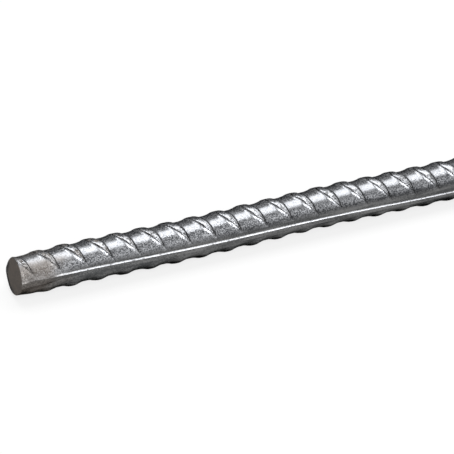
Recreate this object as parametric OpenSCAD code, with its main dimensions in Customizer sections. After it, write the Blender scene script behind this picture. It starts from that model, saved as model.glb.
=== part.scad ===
// Deformed steel reinforcing bar, nominal diameter 12.7 mm, sawn square at both ends.
// The bar lies along X with its axis on the origin at mid-length, and +Z is up.
// Two longitudinal ribs run along its sides, at +Y and -Y, where the two rolls met.
// The slanted ribs across the bar are fine relief on this section and are not drawn here.

/* [Bar] */
// Length of the bar, a stock length of two feet
bar_length = 609.6; // [150:0.1:6100]
// Diameter of the round core between the ribs
core_diameter = 12.0; // [8:0.1:32]

/* [Longitudinal ribs] */
// Height of each longitudinal rib above the core
rib_height = 0.8; // [0.4:0.05:1.5]
// Width of the flat crest of each rib
crest_width = 1.3; // [0.6:0.05:3]
// Lean of a rib's flanks away from its middle plane, in degrees
flank_angle = 25; // [5:1:40]
// Radius that rounds the edges of a crest
edge_radius = 0.25; // [0.05:0.05:0.3]
// Radius that blends a flank into the core
root_radius = 0.6; // [0.2:0.05:1]

/* [Hidden] */
round_steps = 96;
core_radius = core_diameter / 2;
crest_reach = core_radius + rib_height;

// Outward direction of the flank on the +Y side of a rib that points along +X
flank_normal = [sin(flank_angle), cos(flank_angle)];
// Distance of that flank's line from the bar's axis
flank_distance = flank_normal * [crest_reach, crest_width / 2];

// Centre of the arc that rounds the crest's edge
edge_centre = [
    crest_reach - edge_radius,
    crest_width / 2 - edge_radius * (1 - sin(flank_angle)) / cos(flank_angle)
];
// Centre of the arc that blends the flank into the core, one radius clear of both
root_offset = flank_distance + root_radius;
root_slide = sqrt(pow(core_radius + root_radius, 2) - pow(root_offset, 2));
root_centre = root_offset * flank_normal
    + root_slide * [cos(flank_angle), -sin(flank_angle)];

// Hair's breadth by which the root arc cuts past its tangent points, so that no sliver is left
root_overlap = 0.00002;

// Points where straight runs and arcs meet, from the core up to the crest
flank_foot = root_centre - root_radius * flank_normal;
flank_top = edge_centre + edge_radius * flank_normal;
crest_end = [crest_reach, edge_centre.y];

// Outline of one side of a rib, with the root arc's centre standing in for the arc
flank_outline = [root_centre, flank_foot, flank_top, crest_end];

function mirrored(point) = [point.x, -point.y];

// One longitudinal rib in section, pointing along +X from the bar's axis
module rib_section() {
    lower = [for (point = flank_outline) mirrored(point)];
    upper = [for (i = [len(flank_outline) - 1 : -1 : 0]) flank_outline[i]];
    difference() {
        polygon(concat([[0, 0]], lower, upper));
        for (centre = [root_centre, mirrored(root_centre)])
            translate(centre) circle(r = root_radius + root_overlap, $fn = round_steps);
    }
    for (centre = [edge_centre, mirrored(edge_centre)])
        translate(centre) circle(r = edge_radius, $fn = round_steps);
}

module bar_section() {
    circle(r = core_radius, $fn = round_steps);
    for (turn = [0, 180])
        rotate(turn) rib_section();
}

module reinforcing_bar() {
    color("dimgray")
    rotate([90, 0, 90])
    linear_extrude(height = bar_length, center = true)
    bar_section();
}

reinforcing_bar();
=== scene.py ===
"""Dresses one steel reinforcing bar: its ribs, its mill scale, and a plain studio around it."""
import math
from types import SimpleNamespace

import bpy
from mathutils import Matrix, Vector


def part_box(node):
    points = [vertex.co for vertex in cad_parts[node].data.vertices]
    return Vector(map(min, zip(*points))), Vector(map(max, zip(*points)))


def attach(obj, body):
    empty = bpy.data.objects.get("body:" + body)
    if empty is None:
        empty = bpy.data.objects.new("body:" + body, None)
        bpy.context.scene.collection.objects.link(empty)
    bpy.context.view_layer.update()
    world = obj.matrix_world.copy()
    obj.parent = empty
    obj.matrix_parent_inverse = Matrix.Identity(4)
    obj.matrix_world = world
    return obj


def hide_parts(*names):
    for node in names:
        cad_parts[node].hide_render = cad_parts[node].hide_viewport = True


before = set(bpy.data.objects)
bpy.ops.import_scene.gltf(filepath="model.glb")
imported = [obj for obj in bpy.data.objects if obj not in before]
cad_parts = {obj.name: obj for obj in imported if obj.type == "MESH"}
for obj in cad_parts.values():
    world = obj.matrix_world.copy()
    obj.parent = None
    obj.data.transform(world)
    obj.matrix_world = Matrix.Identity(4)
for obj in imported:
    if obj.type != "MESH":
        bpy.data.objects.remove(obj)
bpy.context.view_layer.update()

BAR_NODE = "reinforcing_bar"
MM = 0.001
FULL_TURN = 2 * math.pi
low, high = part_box(BAR_NODE)

# Sizes of the rolled bar, in millimetres, degrees and shares of one; left is towards the near sawn end
BAR_LENGTH = (high.x - low.x) / MM
CORE_DIAMETER = (high.z - low.z) / MM
SIDE_RIB_WEAR = 0.1
SIDE_RIB_HEIGHT = high.y / MM - CORE_DIAMETER / 2 - SIDE_RIB_WEAR
RIB_PITCH = 8.85
BAR_SIZES = {
    "Bar length": BAR_LENGTH,
    "Core diameter": CORE_DIAMETER,
    "Saw burr": 0.12,
    "Saw cut slant": 1.5,
    "Saw cut tilt": 4.0,
    "Saw cut reach": 12.0,
    "End draw": 0.45,
    "End draw reach": 5.0,
    "Rib pitch": RIB_PITCH,
    "First rib": 0.25,
    "Rib height": 0.61,
    "Rib lean": 28.0,
    "Rib reach": 68.0,
    "Rib unevenness": 0.12,
    "Rib crest width": 2.8,
    "Crest reach": 60.0,
    "Crest edge": 0.1,
    "Crest lip": 0.2,
    "Least half crest": 0.15,
    "Long flank": 1.6,
    "Short flank": 0.55,
    "Rounded left flank": 3.0,
    "Rounded right flank": 2.6,
    "Rounded rib gain": 0.15,
    "Left crest behind": 0.1,
    "Right crest behind": 1.5,
    "Left edge raggedness": 1.2,
    "Right edge raggedness": 0.5,
    "Edge ragged length": 1.8,
    "Lower ribs shift": -1.6,
    "Lower ribs softness": 1.9,
    "Worn length": 14.0,
    "Worn rib share": 0.45,
    "Side rib height": SIDE_RIB_HEIGHT,
    "Side rib crest": 1.2,
    "Side rib flank": 0.34,
    "Side rib raggedness": 0.3,
    "Side ragged length": 2.9,
    "Side wear start": 4.0,
    "Worn side flank": 1.4,
    "Worn side share": 0.5,
    "Roll": 2.5,
    "Twist": 9.5,
    "Twist length": 460.0,
    "Twist start": -35.3,
    "Wave height": 0.33,
    "Wave length": 88.0,
    "Wave start": -5.2,
    "Seed": 7.0,
}

# Powers of the curves that shape a slanted rib
TAPER_POWER = 1.5
FLANK_POWER = 2.0
ROUNDED_POWER_DROP = 0.7
CRESCENT_POWER = 2.0
CRESCENT_ROUNDING = 0.4

# Share of its width that a crest narrows to, and the share of the flank that still counts as crest
LEAST_TAPER = 0.03
CREST_TOLERANCE = 0.0001

# Random lines: their detail, and the steps that keep the draws of ribs, sides and halves apart
ROUGH_DETAIL = 3.0
RIB_DRAW = 7.3
EDGE_DRAW = 11.0
LOWER_EDGE_DRAW = 5.0
LOWER_RIB_DRAW = 3.0
HEIGHT_DRAW = 1.0
BACK_DRAW = 9.0

# Mesh lines round a quarter of the bar, across a rib and on a sawn end
SIDE_RIB_ANGLES = (0.0, 4.4, 5.4, 6.0, 6.6, 8.6, 9.3, 10.2, 12.0, 16.0)
PLAIN_STEPS = 10
PLAIN_STEP = (90.0 - SIDE_RIB_ANGLES[-1]) / PLAIN_STEPS
PLAIN_ANGLES = tuple(SIDE_RIB_ANGLES[-1] + PLAIN_STEP * (i + 1) for i in range(PLAIN_STEPS))
QUARTER_ANGLES = SIDE_RIB_ANGLES + PLAIN_ANGLES
QUARTER_STEPS = len(QUARTER_ANGLES) - 1
POINTS_ROUND = 4 * QUARTER_STEPS + 1
FLANK_SHARES = (1.0, 0.72, 0.47, 0.24)
INNER_EDGE = 0.6
LEAST_INNER_SHARE = 0.45
MIDDLE_SHARE = 0.3
CREST_LINES = 6
GAP_LINES = 2
RIB_LINES = 2 * len(FLANK_SHARES) + CREST_LINES + GAP_LINES
SPARE_RIBS = 2
BAR_RINGS = (math.ceil(BAR_LENGTH / RIB_PITCH) + 2 * SPARE_RIBS) * RIB_LINES
END_RING_SHARES = (0.0, 0.0, 0.12, 0.28, 0.46, 0.65, 0.85, 1.0)
END_RINGS = len(END_RING_SHARES) - 1
RINGS = BAR_RINGS + 2 * END_RINGS

# Distance in metres at which points merge, and the share of a face's corners that makes it a sawn face
MERGE_DISTANCE = 0.002 * MM
SAWN_SHARE = 0.75

# Quarters of the bar and rings of an end, each group given by its middle and its reach
BACK_QUARTERS = (1.5, 0.6)
LOWER_QUARTERS = (2.5, 0.6)
RIM_RINGS = (1.5, 0.6)

# Zones in degrees from the crown, which is the middle of the bar's upper or lower half
ROUNDED_ZONE = (8.0, 38.0)
SIDE_RIB_ZONE = (76.0, 90.0)
RUN_OUT_START = (44.0, 54.0)
RUN_OUT_END = (58.0, 70.0)
LIP_END = (50.0, 62.0)
FAINT_LIP_ZONE = (0.0, 14.0)

# Zones in degrees from a side rib
# The worn edge of a side rib, paler in the scale as a painted highlight
EDGE_WEAR_AND_HIGHLIGHT_START = (5.4, 6.0)
EDGE_WEAR_AND_HIGHLIGHT_END = (7.6, 9.0)
DRAWN_ZONE = (10.0, 45.0)
DUST_FOOT = (6.0, 10.0)

# Smears of painted shade where ribs run out, lip lines of painted shade next to the crown, and the line
# between a crest's left and right lips
RUN_OUT_NARROWNESS = 1.6
FAINT_LIP = 0.2
MIDDLE_LINE_SHARES = (0.2, 0.35)

# Ragged foot of the end's dust: its waves in millimetres and degrees, its wander in degrees, its reach
DUST_FOOT_LENGTH = 1.1
DUST_FOOT_TURN = 20.0
DUST_FOOT_WANDER = 14.0
DUST_FOOT_REACH = (8.0, 20.0)

# Sines of the angle at which the painted shade of the underside ends, and radians at which the painted
# shade of the back starts
UNDERSIDE_RISE = (0.3, 0.55)
SHADED_BACK = (1.45, 1.9)
SHADED_BACK_SHARE = 0.45

# The sawn face's edge is clean at this angle and painted dark as shade across from it, between these
# cosines
CLEAN_EDGE = math.radians(40.7)
DARK_EDGE = (-0.8, -0.1)


def linear(hex_colour):
    """Linear red, green, blue and alpha of an sRGB hex colour."""
    parts = [int(hex_colour[i:i + 2], 16) / 255 for i in (1, 3, 5)]
    return [c / 12.92 if c <= 0.04045 else ((c + 0.055) / 1.055) ** 2.4 for c in parts] + [1.0]


def fill_inputs(tree, node, links):
    """Links or sets a node's inputs, found by name or number."""
    for key, value in links.items():
        value = getattr(value, "socket", value)
        if isinstance(value, bpy.types.NodeSocket):
            tree.links.new(value, node.inputs[key])
        else:
            node.inputs[key].default_value = value


def add_node(tree, kind, settings=None, links=None):
    """Adds a node with its settings and links."""
    node = tree.nodes.new(kind)
    for name, value in (settings or {}).items():
        setattr(node, name, value)
    fill_inputs(tree, node, links or {})
    return node


class Field:
    """A number at each point of the surface, so that a tree's maths reads as arithmetic."""

    def __init__(self, tree, socket):
        self.tree = tree
        self.socket = socket

    def math(self, operation, *values):
        node = add_node(self.tree, "ShaderNodeMath", {"operation": operation}, dict(enumerate(values)))
        return Field(self.tree, node.outputs[0])

    def __add__(self, other):
        return self.math("ADD", self, other)

    def __sub__(self, other):
        return self.math("SUBTRACT", self, other)

    def __mul__(self, other):
        return self.math("MULTIPLY", self, other)

    def __truediv__(self, other):
        return self.math("DIVIDE", self, other)

    def __rsub__(self, other):
        return self.math("SUBTRACT", other, self)

    __radd__ = __add__
    __rmul__ = __mul__

    def apply(self, operation, *others):
        return self.math(operation, self, *others)

    def clamp(self, lowest, highest):
        return self.apply("MAXIMUM", lowest).apply("MINIMUM", highest)

    def toward(self, other, amount):
        """This field where the amount is 0, and the other where it is 1."""
        return self + (other - self) * amount

    def fade_in(self, start, end):
        """Rises smoothly from 0 at the start to 1 at the end."""
        node = add_node(
            self.tree,
            "ShaderNodeMapRange",
            {"interpolation_type": "SMOOTHSTEP"},
            {"Value": self, "From Min": start, "From Max": end},
        )
        return Field(self.tree, node.outputs["Result"])

    def fade_out(self, start, end):
        """Falls smoothly from 1 at the start to 0 at the end."""
        return 1.0 - self.fade_in(start, end)

    def pick(self, choices):
        """The choice whose number this field is."""
        node = add_node(self.tree, "GeometryNodeIndexSwitch", {"data_type": "FLOAT"})
        while len(node.index_switch_items) < len(choices):
            node.index_switch_items.new()
        fill_inputs(self.tree, node, dict(enumerate((self, *choices))))
        return Field(self.tree, node.outputs[0])


def strongest(first, *others):
    """The largest of several fields."""
    for other in others:
        first = first.apply("MAXIMUM", other)
    return first


def rough_line(x, y, z):
    """Smooth random numbers from about -0.5 to 0.5, which change over a unit of x, y and z."""
    place = add_node(x.tree, "ShaderNodeCombineXYZ", links={"X": x, "Y": y, "Z": z})
    noise = add_node(
        x.tree,
        "ShaderNodeTexNoise",
        links={"Vector": place.outputs[0], "Scale": 1.0, "Detail": ROUGH_DETAIL},
    )
    return Field(x.tree, noise.outputs["Fac"]) - 0.5


def chance(x, y, z):
    """One random number from -0.5 to 0.5 for each whole x, y and z."""
    place = add_node(x.tree, "ShaderNodeCombineXYZ", links={"X": x, "Y": y, "Z": z})
    noise = add_node(
        x.tree, "ShaderNodeTexWhiteNoise", {"noise_dimensions": "3D"}, {"Vector": place.outputs[0]}
    )
    return Field(x.tree, noise.outputs["Value"]) - 0.5


def place_in_grid(tree):
    """Where a point sits in the grid: its step round the bar, its rib, its line and its end ring."""
    index = Field(tree, add_node(tree, "GeometryNodeInputIndex").outputs[0])
    ring = ((index + 0.5) / POINTS_ROUND).apply("FLOOR")
    line = (ring - END_RINGS).clamp(0.0, BAR_RINGS - 1.0)
    rib_slot = ((line + 0.5) / RIB_LINES).apply("FLOOR")
    near_end = (END_RINGS - ring).apply("MAXIMUM", 0.0)
    far_end = (ring - (RINGS - 1 - END_RINGS)).apply("MAXIMUM", 0.0)
    return SimpleNamespace(
        step=index - ring * POINTS_ROUND,
        rib=rib_slot - SPARE_RIBS,
        line_in_rib=line - rib_slot * RIB_LINES,
        near_end=near_end,
        far_end=far_end,
        end_ring=near_end + far_end,
    )


def place_round_bar(size, step):
    """Angles of a step round the bar: 0 on the near side rib, 90 on top, 180 on the far side rib."""
    quarter = ((step + 0.5) / QUARTER_STEPS).apply("FLOOR")
    is_odd = quarter.apply("MODULO", 2.0)
    step_in_quarter = step - quarter * QUARTER_STEPS
    from_side = step_in_quarter + is_odd * (QUARTER_STEPS - step_in_quarter * 2.0)
    side_angle = from_side.pick(QUARTER_ANGLES)
    is_back = quarter.apply("COMPARE", *BACK_QUARTERS)
    is_lower = quarter.apply("COMPARE", *LOWER_QUARTERS)
    crown_angle = (90.0 - side_angle) * (1.0 - is_back * 2.0)
    return SimpleNamespace(
        turn=(quarter + is_odd) * 90.0 + side_angle * (1.0 - is_odd * 2.0),
        side_angle=side_angle,
        is_back=is_back,
        is_lower=is_lower,
        is_upper=1.0 - is_lower,
        crown_angle=crown_angle,
        crown_part=crown_angle.apply("ABSOLUTE"),
        crown_arc=size["Core diameter"] / 2 * crown_angle.apply("RADIANS"),
    )


def slanted_rib_form(size, at):
    """Slant, flanks and narrowing of the slanted ribs, which are rounder behind and underneath."""
    reach = size["Crest reach"]
    facing = at.crown_angle.fade_in(reach * -1.0, reach)
    flank_gap = size["Long flank"] - size["Short flank"]
    softness = 1.0 + (size["Lower ribs softness"] - 1.0) * at.is_lower
    left_flank = (size["Short flank"] + flank_gap * facing) * softness
    right_flank = (size["Long flank"] - flank_gap * facing) * softness
    behind = (at.crown_angle * -1.0).fade_in(*ROUNDED_ZONE) * at.is_upper
    below = at.crown_angle.fade_in(*ROUNDED_ZONE) * at.is_lower
    rounded = behind + below
    return SimpleNamespace(
        lean=size["Rib lean"].apply("RADIANS").apply("TANGENT") * at.crown_arc,
        shift=size["Lower ribs shift"] * at.is_lower,
        softness=softness,
        behind=behind,
        rounded=rounded,
        left_flank=left_flank.toward(size["Rounded left flank"], rounded),
        right_flank=right_flank.toward(size["Rounded right flank"], below),
        taper=1.0 - (at.crown_part / reach).apply("POWER", TAPER_POWER),
    )


def crest_edges(size, at, form, rib):
    """Distances from the middle of a slanted rib to the left and right edges of its crest."""
    spread = chance(rib, at.is_lower * LOWER_RIB_DRAW, size["Seed"]) * size["Rib unevenness"] + 1.0
    taper = form.taper.apply("MAXIMUM", LEAST_TAPER)
    half = size["Rib crest width"] / 2 * taper * spread / form.softness
    edges = []
    for number, side in enumerate(("Left", "Right")):
        draw = at.is_lower * LOWER_EDGE_DRAW + EDGE_DRAW * number
        ragged = rough_line(at.crown_arc / size["Edge ragged length"], rib * RIB_DRAW, draw)
        width = half * (1.0 + (size[side + " crest behind"] - 1.0) * form.behind)
        edge = width + ragged * size[side + " edge raggedness"]
        edges.append(edge.apply("MAXIMUM", size["Least half crest"]))
    return edges


def place_along_bar(size, grid, at, form):
    """Distance from the near sawn end, on lines that follow each slanted rib's edges and flanks."""
    pitch = size["Rib pitch"]
    edge = size["Crest edge"]
    burr = size["Saw burr"]
    left, right = crest_edges(size, at, form, grid.rib)
    inner_left, inner_right = [
        (side - edge * INNER_EDGE).apply("MAXIMUM", side * LEAST_INNER_SHARE) for side in (left, right)
    ]
    lines = [
        pitch * -0.5,
        *[(left + form.left_flank * share) * -1.0 for share in FLANK_SHARES],
        (left + edge) * -1.0,
        inner_left * -1.0,
        left * -MIDDLE_SHARE,
        right * MIDDLE_SHARE,
        inner_right,
        right + edge,
        *[right + form.right_flank * share for share in reversed(FLANK_SHARES)],
        (right + form.right_flank + pitch * 0.5) / 2,
    ]
    shift = form.shift.toward(size["Lower ribs shift"] * 0.5, at.crown_part.fade_in(*SIDE_RIB_ZONE))
    rib_place = size["First rib"] + grid.rib * pitch + shift + form.lean
    return (rib_place + grid.line_in_rib.pick(lines)).clamp(burr, size["Bar length"] - burr)


def slanted_rib(size, at, form, along):
    """The slanted rib that a point lies on: the place across it, its crest's edges and its height."""
    past_first = along - size["First rib"] - form.shift - form.lean
    rib = (past_first / size["Rib pitch"]).apply("ROUND")
    across = past_first - rib * size["Rib pitch"]
    left, right = crest_edges(size, at, form, rib)
    left_fall = (left * -1.0 - across) / form.left_flank
    right_fall = (across - right) / form.right_flank
    fall = left_fall.apply("MAXIMUM", right_fall).clamp(0.0, 1.0)
    on_crest = fall.apply("LESS_THAN", CREST_TOLERANCE)
    lip = size["Crest lip"] * (1.0 - on_crest) * at.is_upper
    rise = (1.0 - fall).apply("POWER", FLANK_POWER - form.rounded * ROUNDED_POWER_DROP) * (1.0 - lip)
    crescent = 1.0 - (at.crown_part / size["Rib reach"]).apply("POWER", CRESCENT_POWER)
    crescent = crescent.apply("MAXIMUM", 0.0)
    draw = at.is_lower * LOWER_RIB_DRAW + HEIGHT_DRAW
    uneven = chance(rib, draw, size["Seed"]) * size["Rib unevenness"] + 1.0
    unworn = along.fade_in(0.0, size["Worn length"])
    worn = unworn + (1.0 - unworn) * size["Worn rib share"] * at.is_upper
    height = size["Rib height"] * crescent.apply("POWER", CRESCENT_ROUNDING) * uneven * worn * rise
    return SimpleNamespace(
        across=across,
        left=left,
        right=right,
        rise=rise * crescent,
        height=height * (1.0 + form.rounded * size["Rounded rib gain"]),
    )


def side_rib(size, at, along):
    """Height of the straight rib along each side, and how much of it is kept next to the near end."""
    side_arc = size["Core diameter"] / 2 * at.side_angle.apply("RADIANS")
    ragged = rough_line(along / size["Side ragged length"], at.is_back * BACK_DRAW, size["Seed"])
    edge = size["Side rib crest"] / 2 + ragged * size["Side rib raggedness"]
    kept = along.fade_in(size["Side wear start"], size["Worn length"])
    flank = size["Worn side flank"].toward(size["Side rib flank"], kept)
    fall = ((side_arc - edge) / flank).clamp(0.0, 1.0)
    share = size["Worn side share"] + (1.0 - size["Worn side share"]) * kept
    return SimpleNamespace(kept=kept, height=size["Side rib height"] * (1.0 - fall) * share)


def skin_place(size, grid, at, along, height):
    """Turns a point's distance, angle and rib height into its place in metres and its final angle.

    The sawn ends close in rings towards the axis. Each is cut a little askew and drawn in underneath.
    The slight twist and wave are what the straightening of a coil leaves in a bar.
    """
    burr = size["Saw burr"]
    from_end = along.apply("MINIMUM", size["Bar length"] - along)
    drawn = size["End draw"] * from_end.fade_out(0.0, size["End draw reach"])
    drawn = drawn * at.is_lower * at.side_angle.fade_in(*DRAWN_ZONE)
    radius = size["Core diameter"] / 2 + height - drawn - burr * grid.end_ring.apply("MINIMUM", 1.0)
    radius = radius * (1.0 - grid.end_ring.pick(END_RING_SHARES))
    distance = along - burr * grid.near_end.apply("MINIMUM", 1.0)
    distance = distance + burr * grid.far_end.apply("MINIMUM", 1.0)
    twist = ((distance - size["Twist start"]) / size["Twist length"] * FULL_TURN).apply("COSINE")
    wave = ((distance - size["Wave start"]) / size["Wave length"] * FULL_TURN).apply("SINE")
    turned = (at.turn + size["Roll"] + size["Twist"] * twist).apply("RADIANS")
    sideways = radius * turned.apply("COSINE") * -1.0
    upward = radius * turned.apply("SINE")
    slant = sideways * size["Saw cut slant"].apply("RADIANS").apply("TANGENT")
    tilt = upward * size["Saw cut tilt"].apply("RADIANS").apply("TANGENT")
    askew = (slant + tilt) * from_end.fade_out(0.0, size["Saw cut reach"])
    place = add_node(
        along.tree,
        "ShaderNodeCombineXYZ",
        links={
            "X": (distance - size["Bar length"] / 2 + askew) * MM,
            "Y": sideways * MM,
            "Z": (upward + size["Wave height"] * wave) * MM,
        },
    )
    return place.outputs[0], turned


def finish_masks(size, grid, at, along, rib, kept, turned):
    """Where the finishes lie: sawn faces, rib lines, rubbed edges with a painted highlight, and painted
    shade on the sawn edge, at rib run-outs, underneath and on the back.
    """
    # Painted highlight: the side rib's worn upper edge is made paler in the scale
    edge_wear_and_highlight = at.side_angle.fade_in(*EDGE_WEAR_AND_HIGHLIGHT_START) * at.side_angle.fade_out(*EDGE_WEAR_AND_HIGHLIGHT_END)
    edge_wear_and_highlight = edge_wear_and_highlight * at.is_upper * kept
    # Painted shade: a dark smear where each upper rib runs out
    run_out = at.crown_part.fade_in(*RUN_OUT_START) * at.crown_part.fade_out(*RUN_OUT_END)
    run_out = run_out * (rib.across * rib.across * -RUN_OUT_NARROWNESS).apply("EXPONENT")
    rib_fade = at.crown_part.fade_out(*LIP_END) * at.is_upper
    rib_fade = rib_fade * (FAINT_LIP + (1.0 - FAINT_LIP) * at.crown_part.fade_in(*FAINT_LIP_ZONE))
    dust_foot = rough_line(along / DUST_FOOT_LENGTH, at.side_angle / DUST_FOOT_TURN, size["Seed"])
    dusted = (at.side_angle + dust_foot * DUST_FOOT_WANDER).fade_in(*DUST_FOOT) * at.is_upper
    # Painted shade: a darker copy of the scale underneath, and a lighter share of it on the back behind
    # the crown
    painted_shade = turned.apply("SINE").fade_out(*UNDERSIDE_RISE)
    painted_shade = painted_shade * (1.0 - dusted * along.fade_out(*DUST_FOOT_REACH))
    painted_shade = painted_shade.apply("MAXIMUM", turned.fade_in(*SHADED_BACK) * SHADED_BACK_SHARE)
    # Painted shade: the sawn edge is dark across from its clean side
    dark_edge = (turned - CLEAN_EDGE).apply("COSINE").fade_out(*DARK_EDGE)
    left_share, right_share = MIDDLE_LINE_SHARES
    return {
        "sawn": grid.end_ring.apply("MINIMUM", 1.0),
        "rim": grid.end_ring.apply("COMPARE", *RIM_RINGS) * dark_edge,
        "rib_rise": rib.rise,
        "rib_fade": rib_fade,
        "left_gap": rib.across + rib.left,
        "right_gap": rib.across - rib.right,
        "middle_gap": rib.across - rib.right * right_share + rib.left * left_share,
        "side_edge": edge_wear_and_highlight,
        "underside": painted_shade * (1.0 - edge_wear_and_highlight),
        "run_out": run_out,
    }


def ribbed_bar_tree():
    """The tree of the bar's skin: one grid, wrapped round the bar and raised where the ribs are."""
    tree = bpy.data.node_groups.new("ribbed bar", "GeometryNodeTree")
    for name, value in BAR_SIZES.items():
        socket = tree.interface.new_socket(name=name, in_out="INPUT", socket_type="NodeSocketFloat")
        socket.default_value = value
    for name in ("Skin", "Sawn face"):
        tree.interface.new_socket(name=name, in_out="INPUT", socket_type="NodeSocketMaterial")
    tree.interface.new_socket(name="Geometry", in_out="OUTPUT", socket_type="NodeSocketGeometry")
    given = add_node(tree, "NodeGroupInput")
    size = {name: Field(tree, given.outputs[name]) for name in BAR_SIZES}

    grid = place_in_grid(tree)
    at = place_round_bar(size, grid.step)
    form = slanted_rib_form(size, at)
    along = place_along_bar(size, grid, at, form)
    rib = slanted_rib(size, at, form, along)
    side = side_rib(size, at, along)
    place, turned = skin_place(size, grid, at, along, rib.height.apply("MAXIMUM", side.height))

    sheet = add_node(
        tree, "GeometryNodeMeshGrid", links={"Vertices X": RINGS, "Vertices Y": POINTS_ROUND}
    )
    geometry = sheet.outputs["Mesh"]
    for name, value in finish_masks(size, grid, at, along, rib, side.kept, turned).items():
        stored = add_node(
            tree,
            "GeometryNodeStoreNamedAttribute",
            {"data_type": "FLOAT", "domain": "POINT"},
            {"Geometry": geometry, "Name": name, "Value": value},
        )
        geometry = stored.outputs["Geometry"]
    placed = add_node(tree, "GeometryNodeSetPosition", links={"Geometry": geometry, "Position": place})
    merged = add_node(
        tree,
        "GeometryNodeMergeByDistance",
        links={"Geometry": placed.outputs[0], "Distance": MERGE_DISTANCE},
    )
    sawn = add_node(tree, "GeometryNodeInputNamedAttribute", {"data_type": "FLOAT"}, {"Name": "sawn"})
    is_face = Field(tree, sawn.outputs["Attribute"]).apply("GREATER_THAN", SAWN_SHARE)
    smooth = add_node(
        tree,
        "GeometryNodeSetShadeSmooth",
        links={"Geometry": merged.outputs[0], "Shade Smooth": 1.0 - is_face},
    )
    realized = add_node(tree, "GeometryNodeRealizeInstances", links={"Geometry": smooth.outputs[0]})
    skin = add_node(
        tree,
        "GeometryNodeSetMaterial",
        links={"Geometry": realized.outputs[0], "Material": given.outputs["Skin"]},
    )
    face_material = given.outputs["Sawn face"]
    face = add_node(
        tree,
        "GeometryNodeSetMaterial",
        links={"Geometry": skin.outputs[0], "Selection": is_face, "Material": face_material},
    )
    add_node(tree, "NodeGroupOutput", links={"Geometry": face.outputs[0]})
    return tree


def ribbed_bar(skin, sawn_face):
    """The bar's skin as a plain mesh object at the origin."""
    tree = ribbed_bar_tree()
    maker = bpy.data.objects.new("bar_maker", bpy.data.meshes.new("bar_maker"))
    bpy.context.collection.objects.link(maker)
    modifier = maker.modifiers.new("ribbed bar", "NODES")
    modifier.node_group = tree
    values = {**BAR_SIZES, "Skin": skin, "Sawn face": sawn_face}
    for item in tree.interface.items_tree:
        if item.in_out == "INPUT":
            modifier[item.identifier] = values[item.name]
    shape = maker.evaluated_get(bpy.context.evaluated_depsgraph_get())
    mesh = bpy.data.meshes.new_from_object(shape)
    bpy.data.objects.remove(maker)
    bar = bpy.data.objects.new("ribbed_bar", mesh)
    bpy.context.collection.objects.link(bar)
    return bar


def new_material(name):
    """A new material and its empty tree."""
    material = bpy.data.materials.new(name)
    material.use_nodes = True
    material.node_tree.nodes.clear()
    return material, material.node_tree


# Grain of the mill scale: size in millimetres, detail and roughness
SCALE_GRAINS = {
    "speck": (0.435, 4.0, 0.7),
    "patch": (5.0, 3.0, 0.5),
    "chip": (1.1, 3.0, 0.6),
    "pit": (0.42, 2.0, 0.5),
}
STREAK_LENGTH = 17.0
STREAK_WIDTH = 1.4
STREAK_DETAIL = 4.0
SKIN_MASKS = (
    "rim",
    "rib_rise",
    "rib_fade",
    "left_gap",
    "middle_gap",
    "right_gap",
    "underside",
    "side_edge",
    "run_out",
)

# Where finishes start and end along the bar, in millimetres from the near sawn end
STAINED_LENGTH = (5.0, 12.0)
DUSTY_LENGTH = (14.0, 25.0)
DUST_WANDER = 14.0
DIRTY_LENGTH = (25.0, 55.0)
HANDLED_LENGTH = (15.0, 120.0)
LOST_LIP_START = (4.0, 6.0)
LOST_LIP_END = (13.0, 18.0)
BOTTOM_SHADE_START = (3.0, 14.0)

# Where finishes start and end up the bar, in millimetres above its axis
SMOOTH_TOP = (4.2, 5.6)
SPECKLED_TOP = (2.4, 3.9)
PATCHY_FLANK = (2.8, 4.5)
STRIP_FOOT = (3.0, 5.0)
STAIN_FOOT = (1.6, 2.6)
STAIN_TOP = (3.4, 5.0)
LOST_LIP_TOP = (4.0, 4.8)
BOTTOM_SHADE_TOP = (-4.7, -2.4)

# Where finishes start and end across the bar, in millimetres from its middle; the near side is negative
CREST_BACK = (-1.0, 0.6)
SMOOTH_BACK = (-0.6, 0.6)
STRIP_FRONT = (-1.0, 0.5)
STRIP_BACK = (0.9, 1.7)
DUSTY_FLANK = (0.3, 3.4)

# Where finishes start and end across a rib, in millimetres from its crest's edges and middle line
CREST_LEFT = (0.05, 0.25)
CREST_RIGHT = (-0.2, -0.02)
LEFT_LINE = (0.05, 0.22)
RIGHT_LINE = (0.08, 0.26)
MIDDLE_LINE = (0.04, 0.2)
LINE_WOBBLE = 1.3
STAINED_WOBBLE = 1.5
RIGHT_WOBBLE = 0.5
MIDDLE_WOBBLE = 1.5

# Where finishes start and end up a rib, as shares of its height
CREST_RISE = (0.1, 0.4)
DIRT_RISE = (0.4, 0.8)
LINE_RISE = (0.0, 0.05)

# Levels of the grain at which a mark starts and is full
CREST_CHIPS = (0.52, 0.58)
SIDE_NICKS = (0.56, 0.6)
DUST_PITS = (0.6, 0.68)
DUST_CHIPS = (0.56, 0.62)
STAIN_CHIPS = (0.4, 0.58)
DIRT_CHIPS = (0.5, 0.6)
DIRT_PATCHES = (0.5, 0.6)
MIDDLE_LINE_PATCHES = (0.46, 0.56)

# Strength of the dark marks, painted shade among them, of dust and of dirt
MARK_STRENGTH = 0.7
LIP_SHADE_STRENGTH = 0.95
BOTTOM_SHADE_STRENGTH = 0.9
LEAST_STAIN = 0.15
CHIPPED_STAIN = 0.35
DUST_MARK_STRENGTH = 0.6
DUST_STRENGTH = 0.6
CHIP_DIRT = 0.5
PATCH_DIRT = 0.4

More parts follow.
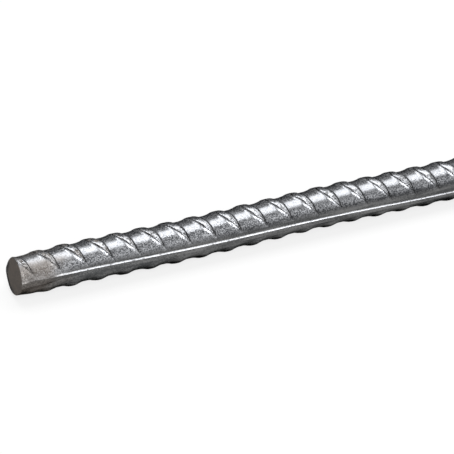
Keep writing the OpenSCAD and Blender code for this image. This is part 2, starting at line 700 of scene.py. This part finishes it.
# Contrast of the pale specks, and what rubbing and the side rib's painted highlight add to their
# paleness
LEAST_CONTRAST = 0.7
TOP_CONTRAST = 0.7
SMOOTH_LOSS = 0.8
HANDLED_GAIN = 0.5
DUST_LOSS = 0.75
SIDE_HIGHLIGHT_GAIN = 0.12
HANDLED_SIDE_LOSS = 0.08
CREST_GAIN = 0.07
STRIP_GAIN = 0.11

# Shades: each one's middle level and its strength, and the levels of the dark and pale tones
HANDLED_SHADE = (0.45, 0.12)
PATCH_SHADE = (0.5, 0.3)
STREAK_SHADE = (0.5, 0.8)
UNDERSIDE_SHADE = (0.6, -0.05)
DUST_SPECK_SHADE = (0.5, 0.4)
DUST_CHIP_SHADE = (0.5, 0.5)
TONE_RANGE = (0.4, 0.62)

# Gloss of the scale: its roughness, what each finish adds to it, and the fine bump in millimetres
SCALE_ROUGHNESS = 0.29
UNDERSIDE_ROUGHNESS = 0.08
CREST_ROUGHNESS = 0.14
DUST_ROUGHNESS = 0.3
DUST_DULLNESS = 0.6
BUMP_STRENGTH = 0.06
BUMP_HEIGHT = 0.08


def scale_fields(tree):
    """What the mill scale's look is worked out from: grain, stored masks and places in millimetres.

    Real specks and pits are finer. They are drawn as coarse as they need to be to show.
    """
    object_place = add_node(tree, "ShaderNodeTexCoord").outputs["Object"]
    place = add_node(
        tree, "ShaderNodeMapping", links={"Vector": object_place, "Scale": (1 / MM, 1 / MM, 1 / MM)}
    ).outputs[0]
    fields = {}
    for name, (grain, detail, roughness) in SCALE_GRAINS.items():
        noise = add_node(
            tree,
            "ShaderNodeTexNoise",
            links={"Vector": place, "Scale": 1 / grain, "Detail": detail, "Roughness": roughness},
        )
        fields[name] = Field(tree, noise.outputs["Fac"])
    across_scale = 1 / (STREAK_WIDTH * MM)
    stretch = (1 / (STREAK_LENGTH * MM), across_scale, across_scale)
    stretched = add_node(tree, "ShaderNodeMapping", links={"Vector": object_place, "Scale": stretch})
    streak = add_node(
        tree,
        "ShaderNodeTexNoise",
        links={"Vector": stretched.outputs[0], "Scale": 1.0, "Detail": STREAK_DETAIL},
    )
    fields["streak"] = Field(tree, streak.outputs["Fac"])
    for name in SKIN_MASKS:
        stored = add_node(tree, "ShaderNodeAttribute", {"attribute_name": name})
        fields[name] = Field(tree, stored.outputs["Fac"])
    axes = add_node(tree, "ShaderNodeSeparateXYZ", links={"Vector": place})
    from_saw = Field(tree, axes.outputs["X"]) + BAR_LENGTH / 2
    return SimpleNamespace(
        **fields,
        from_saw=from_saw,
        sideways=Field(tree, axes.outputs["Y"]),
        height=Field(tree, axes.outputs["Z"]),
        stained_part=from_saw.fade_out(*STAINED_LENGTH),
        handled_part=from_saw.fade_out(*HANDLED_LENGTH),
    )


def shaded(grain, middle, strength):
    """How far a grain's level is from its middle, times a strength."""
    return (grain - middle) * strength


def crest_mask(skin):
    """The flat crests of the upper ribs, on the near side of the top."""
    between = skin.left_gap.fade_in(*CREST_LEFT) * skin.right_gap.fade_out(*CREST_RIGHT)
    raised = skin.rib_rise.fade_in(*CREST_RISE) * (1.0 - skin.underside)
    return between * raised * skin.sideways.fade_out(*CREST_BACK)


def end_dust(skin):
    """Warm dust on the flanks next to the near sawn end, and below it a darker copy of the dust as
    painted shade.
    """
    dusty = (skin.from_saw + skin.patch * DUST_WANDER).fade_out(*DUSTY_LENGTH) * DUST_STRENGTH
    flank = skin.sideways.apply("ABSOLUTE").fade_in(*DUSTY_FLANK)
    # The second share is painted shade: the dust's darker copy where the underside shade lies
    return dusty * flank * (1.0 - skin.underside), dusty * skin.underside


def rib_dirt(skin, crest):
    """Brown dirt that handling left on the ribs nearest to the sawn end."""
    in_chips = skin.chip.fade_in(*DIRT_CHIPS) * skin.rib_rise.fade_in(*DIRT_RISE) * CHIP_DIRT
    in_patches = skin.patch.fade_in(*DIRT_PATCHES) * crest * PATCH_DIRT
    return skin.from_saw.fade_out(*DIRTY_LENGTH) * (in_chips + in_patches)


def rubbed_specks(skin, crest, dust):
    """Paleness of the scale: specks, strong on top and where handled, faint where rubbed smooth, and
    paler along the side rib's worn edge as a painted highlight.
    """
    smooth = skin.height.fade_in(*SMOOTH_TOP) * skin.sideways.fade_out(*SMOOTH_BACK)
    smooth = smooth.apply("MAXIMUM", skin.side_edge)
    contrast = LEAST_CONTRAST + TOP_CONTRAST * skin.height.fade_in(*SPECKLED_TOP)
    contrast = contrast * (1.0 - smooth * SMOOTH_LOSS) * (1.0 + skin.handled_part * HANDLED_GAIN)
    contrast = contrast * (1.0 - dust * DUST_LOSS)
    # Painted highlight: paler scale along the side rib's worn edge
    side_highlight_gain = skin.side_edge * (SIDE_HIGHLIGHT_GAIN - skin.handled_part * HANDLED_SIDE_LOSS)
    strip = skin.sideways.fade_in(*STRIP_FRONT) * skin.sideways.fade_out(*STRIP_BACK)
    strip = strip * skin.height.fade_in(*STRIP_FOOT) * skin.stained_part
    return (skin.speck - 0.5) * contrast + 0.5 + side_highlight_gain + crest * CREST_GAIN + strip * STRIP_GAIN


def lip_shade_lines(skin):
    """Dark ragged lines of painted shade where the rolls left a lip along each crest, and some dark
    lines between the lips.
    """
    wobble = (skin.chip - 0.5) * (LINE_WOBBLE + skin.stained_part * STAINED_WOBBLE)
    left_line = (skin.left_gap + wobble).apply("ABSOLUTE").fade_out(*LEFT_LINE)
    lost = skin.from_saw.fade_in(*LOST_LIP_START) * skin.from_saw.fade_out(*LOST_LIP_END)
    left_line = left_line * (1.0 - lost * skin.height.fade_out(*LOST_LIP_TOP))
    right_line = (skin.right_gap + wobble * RIGHT_WOBBLE).apply("ABSOLUTE").fade_out(*RIGHT_LINE)
    middle_line = (skin.middle_gap + wobble * MIDDLE_WOBBLE).apply("ABSOLUTE").fade_out(*MIDDLE_LINE)
    middle_line = middle_line * skin.patch.fade_in(*MIDDLE_LINE_PATCHES)
    lines = strongest(left_line, right_line, middle_line)
    return lines * skin.rib_fade * skin.rib_rise.fade_in(*LINE_RISE)


def dark_marks(skin, crest, dust):
    """Dark marks: oxide on chipped crests, nicks and stains, pits and chips in the dust, and painted
    shade at rib ends, along the lips, along the lowest line and at the sawn edge.
    """
    # Painted shade: a dark line along the bar's lowest part
    lowest = skin.height.fade_out(*BOTTOM_SHADE_TOP) * skin.from_saw.fade_in(*BOTTOM_SHADE_START)
    stain = skin.stained_part * skin.height.fade_in(*STAIN_FOOT) * skin.height.fade_out(*STAIN_TOP)
    stain = stain * (LEAST_STAIN + CHIPPED_STAIN * skin.chip.fade_in(*STAIN_CHIPS))
    return strongest(
        skin.rim,
        skin.run_out * MARK_STRENGTH,
        skin.chip.fade_in(*CREST_CHIPS) * crest * MARK_STRENGTH,
        skin.chip.fade_in(*SIDE_NICKS) * skin.side_edge * MARK_STRENGTH,
        lip_shade_lines(skin) * LIP_SHADE_STRENGTH,
        lowest * BOTTOM_SHADE_STRENGTH,
        stain * (1.0 - skin.underside),
        skin.pit.fade_in(*DUST_PITS) * dust * DUST_MARK_STRENGTH,
        skin.chip.fade_in(*DUST_CHIPS) * dust * DUST_MARK_STRENGTH,
    )


def mill_scale_steel():
    """Hot-rolled steel under blue-grey mill scale: a dark satin metal with paler rubbed specks,
    painted shade underneath and on the back, and dulled by warm dust next to the near sawn end."""
    material, tree = new_material("hot rolled mill scale steel")
    skin = scale_fields(tree)
    crest = crest_mask(skin)
    flank_dust, shaded_dust = end_dust(skin)
    speck = rubbed_specks(skin, crest, flank_dust)
    marks = dark_marks(skin, crest, flank_dust)
    dust = flank_dust.apply("MAXIMUM", rib_dirt(skin, crest))
    shade = shaded(skin.handled_part, *HANDLED_SHADE) + shaded(skin.patch, *PATCH_SHADE)
    shade = shade * skin.height.fade_out(*PATCHY_FLANK) * (1.0 - skin.side_edge)
    streaks = shaded(skin.streak, *STREAK_SHADE) + shaded(skin.handled_part, *UNDERSIDE_SHADE)
    dusty = 0.5 + shaded(speck, *DUST_SPECK_SHADE) + shaded(skin.chip, *DUST_CHIP_SHADE)

    # Paleness and tones of each layer, from the bottom up: scale, painted shade underneath, dust,
    # painted shade on the dust, and marks, some of them painted shade
    tones = (
        (speck + shade, "#54565a", "#d0d2d6"),
        (speck + streaks, "#505152", "#7a7a7a"),
        (dusty, "#675d54", "#93887b"),
        (speck, "#4a443f", "#6b635b"),
        (speck, "#1a1919", "#302e2d"),
    )
    layers = []
    for paleness, dark, pale in tones:
        ramp = add_node(tree, "ShaderNodeValToRGB", links={"Fac": paleness})
        for element, position, tone in zip(ramp.color_ramp.elements, TONE_RANGE, (dark, pale)):
            element.position = position
            element.color = linear(tone)
        layers.append(ramp.outputs["Color"])
    colour = layers[0]
    for amount, layer in zip((skin.underside, dust, shaded_dust, marks), layers[1:]):
        mix = add_node(tree, "ShaderNodeMix", {"data_type": "RGBA"}, {0: amount, 6: colour, 7: layer})
        colour = mix.outputs[2]
    bump = add_node(
        tree,
        "ShaderNodeBump",
        links={"Height": speck, "Strength": BUMP_STRENGTH, "Distance": BUMP_HEIGHT * MM},
    )
    roughness = SCALE_ROUGHNESS + skin.underside * UNDERSIDE_ROUGHNESS + crest * CREST_ROUGHNESS
    surface = add_node(
        tree,
        "ShaderNodeBsdfPrincipled",
        links={
            "Base Color": colour,
            "Metallic": 1.0 - dust * DUST_DULLNESS,
            "Roughness": roughness + dust * DUST_ROUGHNESS,
            "Specular Tint": linear("#3c3c3c"),
            "Normal": bump.outputs["Normal"],
        },
    )
    add_node(tree, "ShaderNodeOutputMaterial", links={"Surface": surface.outputs[0]})
    return material


# Sawn face: its cloudy grain in millimetres, how bare its metal is, and where its edge's painted shade
# is full
SAW_GRAIN = 1.6
SAW_DETAIL = 5.0
SAW_GRAIN_ROUGHNESS = 0.65
SAW_TONE_RANGE = (0.3, 0.7)
SAW_METALLIC = 0.4
RIM_METALLIC = 0.6
SAW_ROUGHNESS = 0.6
FULL_RIM = 0.7


def sawn_steel():
    """Sawn steel face: matt brown-grey with a cloudy grain, and a dark edge of painted shade at its far
    lower side.
    """
    material, tree = new_material("sawn steel")
    place = add_node(tree, "ShaderNodeTexCoord").outputs["Object"]
    grain = add_node(
        tree,
        "ShaderNodeTexNoise",
        links={
            "Vector": place,
            "Scale": 1 / (SAW_GRAIN * MM),
            "Detail": SAW_DETAIL,
            "Roughness": SAW_GRAIN_ROUGHNESS,
        },
    )
    colour = add_node(tree, "ShaderNodeValToRGB", links={"Fac": grain.outputs["Fac"]})
    tones = ("#2d251e", "#493d32")
    for element, position, tone in zip(colour.color_ramp.elements, SAW_TONE_RANGE, tones):
        element.position = position
        element.color = linear(tone)
    stored = add_node(tree, "ShaderNodeAttribute", {"attribute_name": "rim"})
    rim = Field(tree, stored.outputs["Fac"]).fade_in(0.0, FULL_RIM)
    edged = add_node(
        tree,
        "ShaderNodeMix",
        {"data_type": "RGBA"},
        {0: rim, 6: colour.outputs["Color"], 7: linear("#171412")},
    )
    surface = add_node(
        tree,
        "ShaderNodeBsdfPrincipled",
        links={
            "Base Color": edged.outputs[2],
            "Metallic": rim * RIM_METALLIC + SAW_METALLIC,
            "Roughness": SAW_ROUGHNESS,
        },
    )
    add_node(tree, "ShaderNodeOutputMaterial", links={"Surface": surface.outputs[0]})
    return material


bar = ribbed_bar(mill_scale_steel(), sawn_steel())
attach(bar, "root")
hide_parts(BAR_NODE)

# Pale floor under the lowest ribs: half its side in metres, and its share of plain white
FLOOR_HALF = 80.0
FLOOR_WHITENESS = 0.78


def floor_paint():
    """Matt white paint: the camera and the steel see most of it as plain white, with a faint shadow."""
    material, tree = new_material("matt white floor")
    paint = add_node(
        tree,
        "ShaderNodeBsdfPrincipled",
        links={"Base Color": linear("#f0f0f0"), "Roughness": 0.9, "Specular IOR Level": 0.0},
    )
    rays = add_node(tree, "ShaderNodeLightPath")
    is_seen = strongest(
        *[Field(tree, rays.outputs[f"Is {kind} Ray"]) for kind in ("Camera", "Glossy", "Transmission")]
    )
    white = add_node(tree, "ShaderNodeEmission", links={"Color": linear("#ffffff")})
    mix = add_node(
        tree,
        "ShaderNodeMixShader",
        links={0: is_seen * FLOOR_WHITENESS, 1: paint.outputs[0], 2: white.outputs[0]},
    )
    add_node(tree, "ShaderNodeOutputMaterial", links={"Surface": mix.outputs[0]})
    return material


floor_height = min(vertex.co.z for vertex in bar.data.vertices)
floor_mesh = bpy.data.meshes.new("floor")
signs = ((-1, -1), (1, -1), (1, 1), (-1, 1))
corners = [(FLOOR_HALF * x, FLOOR_HALF * y, floor_height) for x, y in signs]
floor_mesh.from_pydata(corners, [], [(0, 1, 2, 3)])
floor_mesh.materials.append(floor_paint())
floor = bpy.data.objects.new("floor", floor_mesh)
bpy.context.collection.objects.link(floor)

# Studio lamps: centre, target, width and height in metres, and radiance
SOFT_BOXES = {
    "overhead soft box": ((0.0, 0.245, 0.9), (0.0, 0.245, 0.0), 1.2, 0.75, 2.95),
    "front wall": ((0.6, -1.6, 1.9), (0.6, 0.0, 1.9), 2.4, 2.2, 0.42),
    "front soft box": ((-0.5, -0.98, 0.75), (-0.2, 0.0, 0.0), 0.5, 1.4, 4.8),
    "back wall": ((0.6, 1.8, 0.7), (0.0, 0.0, 0.0), 2.4, 1.2, 0.12),
}
WORLD_GREY = "#959595"

for name, (centre, target, width, height, radiance) in SOFT_BOXES.items():
    lamp_data = bpy.data.lights.new(name, "AREA")
    lamp_data.shape = "RECTANGLE"
    lamp_data.size = width
    lamp_data.size_y = height
    lamp_data.energy = radiance * math.pi * width * height
    lamp = bpy.data.objects.new(name, lamp_data)
    bpy.context.collection.objects.link(lamp)
    lamp.location = centre
    lamp.rotation_euler = (Vector(target) - Vector(centre)).to_track_quat("-Z", "Y").to_euler()

world = bpy.data.worlds.new("dim studio")
world.use_nodes = True
world.node_tree.nodes["Background"].inputs["Color"].default_value = linear(WORLD_GREY)
world.node_tree.nodes["Background"].inputs["Strength"].default_value = 1.0
bpy.context.scene.world = world

# Camera at the photo's viewing angle, set by where the near sawn end falls in the frame
FRAME_PIXELS = 454
FOCAL_PIXELS = 3300.0
NEAR_END_DISTANCE = 1.0013
NEAR_END_PIXEL = (13.9, 277.82)
CAMERA_ELEVATION = 26.6
BAR_AZIMUTH = 26.9
# The photo's bar lies rolled about its own axis; here its side ribs are level and the camera is rolled
BAR_ROLL = 11.7

camera_data = bpy.data.cameras.new("camera")
camera_data.sensor_width = 36.0
camera_data.lens = FOCAL_PIXELS / FRAME_PIXELS * camera_data.sensor_width
camera_data.clip_end = 5 * FLOOR_HALF
camera = bpy.data.objects.new("camera", camera_data)
bpy.context.collection.objects.link(camera)
azimuth = math.radians(BAR_AZIMUTH)
elevation = math.radians(CAMERA_ELEVATION)
forward = Vector((
    math.sin(azimuth) * math.cos(elevation),
    math.cos(azimuth) * math.cos(elevation),
    -math.sin(elevation),
))
right = Vector((math.cos(azimuth), -math.sin(azimuth), 0.0))
roll = Matrix.Rotation(math.radians(-BAR_ROLL), 3, "X")
forward = roll @ forward
right = roll @ right
up = right.cross(forward)
near_end = Vector((low.x, 0.0, 0.0))
offset_x = (NEAR_END_PIXEL[0] - FRAME_PIXELS / 2) / FOCAL_PIXELS
offset_y = (FRAME_PIXELS / 2 - NEAR_END_PIXEL[1]) / FOCAL_PIXELS
ray = forward + right * offset_x + up * offset_y
camera.location = near_end - ray * NEAR_END_DISTANCE
camera.rotation_euler = Matrix((right, up, -forward)).transposed().to_euler()
bpy.context.scene.camera = camera

bpy.context.scene.view_settings.view_transform = "Standard"
